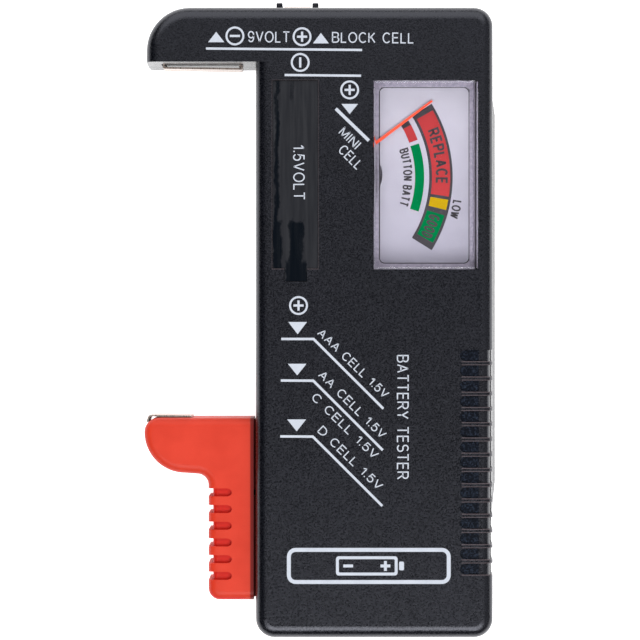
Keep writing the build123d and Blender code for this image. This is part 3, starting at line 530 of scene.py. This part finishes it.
def ribbon(outline, thickness):
    """A thin layer of ink over a stroke, whose outline runs up one side and back along the other."""
    size = len(outline)
    points = [(x, y, z) for z in (-thickness / 2, thickness / 2) for x, y in outline]
    faces = []
    for i in range(size // 2 - 1):
        across = (i, i + 1, size - 2 - i, size - 1 - i)
        faces += [across, [size + k for k in reversed(across)]]
    faces += [((i + 1) % size, i, size + i, size + (i + 1) % size) for i in range(size)]
    mesh = bpy.data.meshes.new("ribbon")
    mesh.from_pydata(points, [], faces)
    return mesh


def arc(x, y, rx, ry, start, end, steps=12):
    """Points along a part of an ellipse, between two angles in degrees."""
    angles = [radians(start + (end - start) * i / steps) for i in range(steps + 1)]
    return [(x + rx * cos(a), y + ry * sin(a)) for a in angles]


# Plain single-stroke capitals, one unit high: each has its width and the lines that it is drawn with.
LETTERS = {
    "A": (0.72, [[(0, 0), (0.36, 1)], [(0.36, 1), (0.72, 0)], [(0.12, 0.32), (0.6, 0.32)]]),
    "B": (0.64, [[(0, 0), (0, 1), (0.36, 1)] + arc(0.36, 0.765, 0.24, 0.235, 80, -90) + [(0, 0.53)],
                 [(0.36, 0.53)] + arc(0.36, 0.265, 0.28, 0.265, 80, -90) + [(0, 0)]]),
    "C": (0.72, [arc(0.38, 0.5, 0.38, 0.5, 42, 318, 20)]),
    "D": (0.68, [[(0, 0), (0, 1), (0.26, 1)] + arc(0.26, 0.5, 0.42, 0.5, 80, -80, 16)
                 + [(0.26, 0), (0, 0)]]),
    "E": (0.58, [[(0.56, 1), (0, 1), (0, 0), (0.58, 0)], [(0, 0.53), (0.52, 0.53)]]),
    "G": (0.76, [arc(0.38, 0.5, 0.38, 0.5, 48, 318, 20) + [(0.74, 0.46), (0.42, 0.46)]]),
    "I": (0.0, [[(0, 0), (0, 1)]]),
    "K": (0.62, [[(0, 0), (0, 1)], [(0.58, 1), (0, 0.36)], [(0.22, 0.58), (0.62, 0)]]),
    "L": (0.5, [[(0, 1), (0, 0), (0.5, 0)]]),
    "M": (0.74, [[(0, 0), (0, 1)], [(0, 1), (0.37, 0.04)], [(0.37, 0.04), (0.74, 1)],
                 [(0.74, 1), (0.74, 0)]]),
    "N": (0.62, [[(0, 0), (0, 1)], [(0, 1), (0.62, 0)], [(0.62, 0), (0.62, 1)]]),
    "O": (0.8, [arc(0.4, 0.5, 0.4, 0.5, 0, 360, 28)]),
    "P": (0.6, [[(0, 0), (0, 1), (0.34, 1)] + arc(0.34, 0.74, 0.26, 0.26, 80, -90) + [(0, 0.48)]]),
    "R": (0.66, [[(0, 0), (0, 1), (0.36, 1)] + arc(0.36, 0.75, 0.26, 0.25, 80, -90) + [(0, 0.5)],
                 [(0.32, 0.5), (0.66, 0)]]),
    "S": (0.62, [arc(0.31, 0.75, 0.28, 0.25, 30, 250) + arc(0.31, 0.27, 0.31, 0.27, 70, -155)]),
    "T": (0.64, [[(0, 1), (0.64, 1)], [(0.32, 1), (0.32, 0)]]),
    "U": (0.62, [[(0, 1)] + arc(0.31, 0.32, 0.31, 0.32, 180, 360) + [(0.62, 1)]]),
    "V": (0.68, [[(0, 1), (0.34, 0)], [(0.34, 0), (0.68, 1)]]),
    "W": (0.92, [[(0, 1), (0.23, 0)], [(0.23, 0), (0.46, 0.94)], [(0.46, 0.94), (0.69, 0)],
                 [(0.69, 0), (0.92, 1)]]),
    "Y": (0.66, [[(0, 1), (0.33, 0.45), (0.66, 1)], [(0.33, 0.45), (0.33, 0)]]),
    "1": (0.26, [[(0, 0.74), (0.26, 1)], [(0.26, 1), (0.26, 0)]]),
    "5": (0.54, [[(0.48, 1), (0.1, 1), (0.05, 0.54)] + arc(0.26, 0.33, 0.28, 0.33, 130, -155, 16)]),
    "9": (0.54, [arc(0.27, 0.69, 0.27, 0.31, 0, 360, 20),
                 [(0.54, 0.69)] + arc(0.27, 0.4, 0.27, 0.4, 0, -150)]),
    ".": (0.04, [[(0.02, -0.02), (0.02, 0.12)]]),
    " ": (0.3, []),
}


def strokes_of(text, length, cap, width, gap):
    """The strokes of a word that starts at X = 0 on its baseline, as outlines in millimetres."""
    starts, at = [], 0.0
    for letter in text:
        starts.append(at)
        at += LETTERS[letter][0] + gap
    across, up = (length - width) / (at - gap), cap - width
    outlines = []
    for start, letter in zip(starts, text):
        for line in LETTERS[letter][1]:
            points = [(width / 2 + (start + x) * across, width / 2 + y * up) for x, y in line]
            outlines.append(stroke(points, width))
    return outlines


def word(text, start, end, cap, width, gap=0.28):
    """A word from start to end along its baseline, with capitals cap high and their tops to its left."""
    turn = atan2(end[1] - start[1], end[0] - start[0])
    meshes = []
    for outline in strokes_of(text, hypot(end[0] - start[0], end[1] - start[1]), cap, width, gap):
        placed = [(start[0] + x * cos(turn) - y * sin(turn), start[1] + x * sin(turn) + y * cos(turn))
                  for x, y in outline]
        meshes.append(ribbon(placed, INK))
    return meshes


def bent_word(text, centre, base, cap, start, end, width, gap=0.28):
    """A word that runs clockwise round a centre, letters' tops outward, on a circle of radius base."""
    length = radians(start - end) * (base + cap / 2)
    meshes = []
    for outline in strokes_of(text, length, cap, width, gap):
        placed = []
        for x, y in outline:
            angle = radians(start + (end - start) * x / length)
            placed.append((centre[0] + (base + y) * cos(angle), centre[1] + (base + y) * sin(angle)))
        meshes.append(ribbon(placed, DIAL_INK))
    return meshes


def ink(name, meshes, z, slot, origin=(DATUM_X, DATUM_Y), flip=False, body="case"):
    """One thin piece on that body from flat meshes, lying at height z and drawn about that origin."""
    joined = bpy.data.meshes.new(name)
    points, faces = [], []
    for mesh in meshes:
        first = len(points)
        points += [((v.co.x + origin[0]) * MM, (v.co.y + origin[1]) * MM, (z + v.co.z) * MM)
                   for v in mesh.vertices]
        for polygon in mesh.polygons:
            corners = [first + i for i in polygon.vertices]
            faces.append(corners[::-1] if flip else corners)
        bpy.data.meshes.remove(mesh)
    joined.from_pydata(points, [], faces)
    joined.update()
    piece = bpy.data.objects.new(name, joined)
    scene.collection.objects.link(piece)
    joined.materials.append(looks[slot].material)
    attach(piece, body)


# ---- print on the front --------------------------------------------------------------------------
PRINT_LIFT = 0.008  # of the print's mid-plane above the surface that it lies on
FRONT_Z = CASE_Z + PRINT_LIFT
SIGN_RADIUS = 1.62
RING = 0.34
SIGN_LENGTH = 1.75
SIGN_WIDTH = 0.38


def sign(centre, arms=("across", "up")):
    """A polarity sign in a ring."""
    return filled([circle(centre, SIGN_RADIUS), circle(centre, SIGN_RADIUS - RING),
                   cross(centre, SIGN_LENGTH, SIGN_WIDTH, arms)], INK)


def triangle(left, right, base, tip):
    return filled([[(left, base), (right, base), ((left + right) / 2, tip)]], INK)


ink("print_rules", [
    filled([bar((-19.73, 46.25), (7.09, 46.0), 0.4)], INK),
    filled([bar((-6.22, 41.7), (6.92, 41.57), 0.4)], INK),
    filled([bar((2.57, 35.91), (8.26, 30.41), 0.55)], INK),
], FRONT_Z, "print_white")
ink("print_leaders", [
    filled([stroke([(-6.8, -3.66), (-1.25, -3.66), (10.75, -15.64)], 0.42)], INK),
    filled([stroke([(-6.88, -10.8), (-1.3, -10.83), (10.65, -22.77)], 0.42)], INK),
    filled([stroke([(-6.98, -20.4), (-1.37, -20.44), (10.57, -32.36)], 0.42)], INK),
], FRONT_Z, "print_white")
ink("print_polarity_signs", [
    sign((-14.76, 48.41), ("across",)),
    sign((-3.22, 48.28)),
    sign((-3.54, 43.86), ("up",)),
    sign((4.96, 39.14)),
    sign((-3.83, 2.09)),
], FRONT_Z, "print_white")
ink("print_triangles", [
    triangle(-19.38, -16.57, 47.33, 49.12),
    triangle(-1.36, 1.39, 47.13, 48.93),
    triangle(3.54, 6.39, 36.73, 34.99),
    triangle(-5.59, -2.38, -0.74, -2.84),
    triangle(-5.66, -2.46, -7.92, -9.91),
    triangle(-5.78, -2.52, -17.48, -19.53),
], FRONT_Z, "print_white")
ink("print_block_cell_words", [
    *word("9VOLT", (-12.55, 47.32), (-5.32, 47.24), 1.95, 0.21),
    *word("BLOCK CELL", (1.9, 47.24), (16.0, 47.1), 1.87, 0.21),
], FRONT_Z, "print_white")
ink("print_small_cell_words", [
    *word("MINI", (2.95, 31.7), (5.82, 28.83), 1.75, 0.2),
    *word("CELL", (2.85, 28.63), (6.18, 25.3), 1.75, 0.2),
], FRONT_Z, "print_white")
ink("print_cell_size_words", [
    *word("AAA CELL 1.5V", (-0.72, -2.81), (10.82, -13.99), 1.53, 0.19),
    *word("AA CELL 1.5V", (-0.55, -10.0), (10.34, -20.92), 1.53, 0.19),
    *word("C CELL 1.5V", (-1.74, -13.9), (9.02, -24.42), 1.53, 0.19),
    *word("D CELL 1.5V", (-0.67, -19.58), (9.76, -29.76), 1.53, 0.19),
], FRONT_Z, "print_white")
ink("print_title", word("BATTERY TESTER", (13.06, -6.4), (13.06, -27.79), 2.05, 0.22),
    FRONT_Z, "print_white")

BADGE_X = (-5.83, 22.32)
BADGE_Y = (-45.76, -39.56)
BADGE_STROKE = 0.68
CELL_X = (2.6, 13.2)
CELL_Y = (-44.3, -41.0)
badge_middle = sum(BADGE_Y) / 2
ink("print_badge", [
    filled([rounded(*BADGE_X, *BADGE_Y, 1.5),
            rounded(BADGE_X[0] + BADGE_STROKE, BADGE_X[1] - BADGE_STROKE, BADGE_Y[0] + BADGE_STROKE,
                    BADGE_Y[1] - BADGE_STROKE, 1.5 - BADGE_STROKE)], INK),
    filled([rounded(*CELL_X, *CELL_Y, 0.5),
            rounded(CELL_X[0] + 0.5, CELL_X[1] - 0.5, CELL_Y[0] + 0.5, CELL_Y[1] - 0.5, 0.2)], INK),
    filled([rounded(CELL_X[1] + 0.25, CELL_X[1] + 1.1,
                    badge_middle - 0.75, badge_middle + 0.75, 0.25)], INK),
    filled([cross((CELL_X[0] + 2.1, badge_middle), 1.7, 0.5, ("across",))], INK),
    filled([cross((CELL_X[1] - 2.1, badge_middle), 1.7, 0.5)], INK),
], FRONT_Z, "print_white")

STRIP_Z = strip_high.z / MM + PRINT_LIFT
ink("print_voltage", word("1.5VOLT", (-4.8, 29.69), (-4.72, 20.24), 2.0, 0.21), STRIP_Z, "print_white")

# ---- print on the dial -----------------------------------------------------------------------------
DIAL_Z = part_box("dial_plate")[1].z / MM
ARC_CENTRE = (-1.1, 24.33)
OUTLINE_Z = DIAL_Z + 0.006
FIELD_Z = DIAL_Z + 0.015
WORD_Z = DIAL_Z + 0.024


def band(inner, outer, start, end):
    return filled([sector(ARC_CENTRE, inner, outer, start, end)], DIAL_INK)


ink("dial_band_outline", [band(19.85, 23.9, 32.0, -32.0), band(17.4, 18.97, 31.0, 28.2)],
    OUTLINE_Z, "print_black")
ink("dial_replace_fields", [band(20.33, 23.47, 29.4, -8.3), band(17.42, 18.97, 28.4, 19.8)],
    FIELD_Z, "print_red")
ink("dial_low_field", [band(20.35, 23.47, -9.7, -14.1)], FIELD_Z, "print_yellow")
ink("dial_good_fields", [band(20.3, 23.42, -16.5, -29.0), band(17.4, 18.97, 17.8, -18.4)],
    FIELD_Z, "print_green")
ink("dial_words", [
    *bent_word("REPLACE", ARC_CENTRE, 20.97, 2.1, 22.2, -3.2, 0.38, gap=0.42),
    *bent_word("GOOD", ARC_CENTRE, 20.85, 1.98, -17.5, -28.4, 0.34, gap=0.6),
    *bent_word("LOW", ARC_CENTRE, 24.28, 1.62, -9.3, -16.5, 0.28, gap=0.36),
    *bent_word("BUTTON BATT", ARC_CENTRE, 15.33, 1.62, 17.7, -18.2, 0.28, gap=0.45),
], WORD_Z, "print_black")

# ---- grey frame laid on the dial plate's edge, with a painted dark line round its opening -----------
FRAME_Z = (DIAL_Z + 0.004, DIAL_Z + 0.1)
FRAME_X = (9.14, 26.42)
FRAME_Y = (8.44, 40.66)
FRAME_RADIUS = 0.3
OPENING_X = (10.2, 25.55)
OPENING_Y = (9.5, 39.72)
OPENING_RADIUS = 0.9
LINE_WIDTH = 0.17


def frame_ring(name, outer, inner, slot):
    """A flat ring between two outlines, as thick as the frame."""
    mesh = filled([outer, inner], FRAME_Z[1] - FRAME_Z[0])
    ink(name, [mesh], sum(FRAME_Z) / 2, slot)


def opening(grow):
    """The frame's opening, made larger by that much on every side."""
    return rounded(OPENING_X[0] - grow, OPENING_X[1] + grow, OPENING_Y[0] - grow, OPENING_Y[1] + grow,
                   OPENING_RADIUS + grow)


frame_ring("dial_frame", rounded(*FRAME_X, *FRAME_Y, FRAME_RADIUS), opening(LINE_WIDTH), "meter_plastic")
# The black line round the opening is painted shade, where the cover's cavity wall meets its front.
frame_ring("dial_frame_shade_line", opening(LINE_WIDTH), opening(0.0), "print_black")

# ---- dark block in the relief of the arm's neck, painted shadow over the floor seen through the gap ------
RELIEF_SHADE_Z = 12.5
RELIEF_SHADE_THICKNESS = 1.6
relief_shade = filled([rounded(-11.6, -11.0, -31.02, -29.98, 0.15)], RELIEF_SHADE_THICKNESS)
ink("neck_relief_shade", [relief_shade], RELIEF_SHADE_Z, "print_black", body="arm")

# ---- print on the rear label -------------------------------------------------------------------------
label_low, label_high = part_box("rear_label")
LABEL_Z = label_low.z / MM - 0.01
label_left, label_right = label_low.x / MM, label_high.x / MM
label_middle = (label_left + label_right) / 2


def mirrored(meshes):
    """Turns meshes drawn as seen from behind to face backwards."""
    for mesh in meshes:
        for v in mesh.vertices:
            v.co.x = -v.co.x
    return meshes


def label_lines():
    """The label's frame, its lines of words and its battery symbol, drawn about the label's middle."""
    inset, line, radius = 1.2, 0.3, 1.2
    half = (label_right - label_left) / 2 - inset
    low, high = label_low.y / MM + inset, label_high.y / MM - inset
    frame_line = filled([rounded(-half, half, low, high, radius),
                         rounded(-half + line, half - line, low + line, high - line, 0.9)], INK)
    rows = []
    lines = (("AAA AA C D CELL", 22.0, 19.0), ("BUTTON CELL", 15.0, 15.0), ("BLOCK CELL", 8.0, 13.5))
    for text, y, length in lines:
        rows += word(text, (-10.5, y), (length - 10.5, y), 1.6, 0.22)
        rows.append(filled([bar((-11.0, y - 2.2), (11.0, y - 2.2), 0.15)], INK))
    rows += word("BATTERY TESTER", (-11.0, 30.0), (11.0, 30.0), 2.1, 0.3)
    battery = [
        filled([rounded(-6, 5, -20, -15, 0.8), rounded(-5.5, 4.5, -19.5, -15.5, 0.4)], INK),
        filled([rounded(5.3, 6.3, -18.7, -16.3, 0.3)], INK),
        filled([cross((-3.4, -17.5), 2, 0.5, ("across",))], INK),
        filled([cross((2.4, -17.5), 2, 0.5)], INK),
    ]
    return [frame_line, *rows, *battery]


ink("rear_label_print", mirrored(label_lines()), LABEL_Z, "print_black", (label_middle, 0.0), flip=True)

# ---- floor, light and camera ---------------------------------------------------------------------------
def floor_paint():
    """Pale matt paint that also glows a little, so that the floor stays white in the picture."""
    look = Look("floor_paint")
    dark, light = (0.82, 0.82, 0.83, 1), (0.86, 0.86, 0.87, 1)
    haze = look.noise(60.0, detail=2.0)
    look.set(Base_Color=look.mix(haze, dark, light), Roughness=look.spread(haze, 0.75, 0.85),
             Emission_Color=(1, 1, 1, 1), Emission_Strength=0.9)
    return look


FLOOR_HALF = 1.6
floor_mesh = bpy.data.meshes.new("floor")
floor_corners = [(sx * FLOOR_HALF, sy * FLOOR_HALF, 0) for sx, sy in ((-1, -1), (1, -1), (1, 1), (-1, 1))]
floor_mesh.from_pydata(floor_corners, [], [(0, 1, 2, 3)])
floor_mesh.materials.append(floor_paint().material)
floor = bpy.data.objects.new("floor", floor_mesh)
scene.collection.objects.link(floor)


def softbox(name, place, size, power):
    data = bpy.data.lights.new(name, "AREA")
    data.shape = "RECTANGLE"
    data.size, data.size_y = size
    data.energy = power
    lamp = bpy.data.objects.new(name, data)
    lamp.location = place
    lamp.rotation_euler = (-Vector(place)).to_track_quat("-Z", "X" if place[0] else "Y").to_euler()
    scene.collection.objects.link(lamp)


softbox("light_top", (0.0, 0.77, 0.64), (1.6, 1.15), 12.0)
softbox("light_bottom", (0.0, -0.52, 0.86), (0.9, 0.5), 8.8)
softbox("light_high", (0.0, 0.24, 0.95), (0.6, 0.16), 0.35)
softbox("light_right", (0.7, 0.0, 0.7), (1.15, 1.6), 2.3)

world = bpy.data.worlds.new("studio")
world.use_nodes = True
world.node_tree.nodes["Background"].inputs["Color"].default_value = (0.9, 0.92, 1.0, 1)
world.node_tree.nodes["Background"].inputs["Strength"].default_value = 0.02
scene.world = world
scene.view_settings.view_transform = "Standard"

camera_data = bpy.data.cameras.new("camera")
camera_data.sensor_width = 36
camera_data.lens = 229.15
camera_data.clip_start = 0.05
camera = bpy.data.objects.new("camera", camera_data)
camera.location = (-0.00014 + DATUM_X * MM, -0.0004 + DATUM_Y * MM, 0.725)
scene.collection.objects.link(camera)
scene.camera = camera
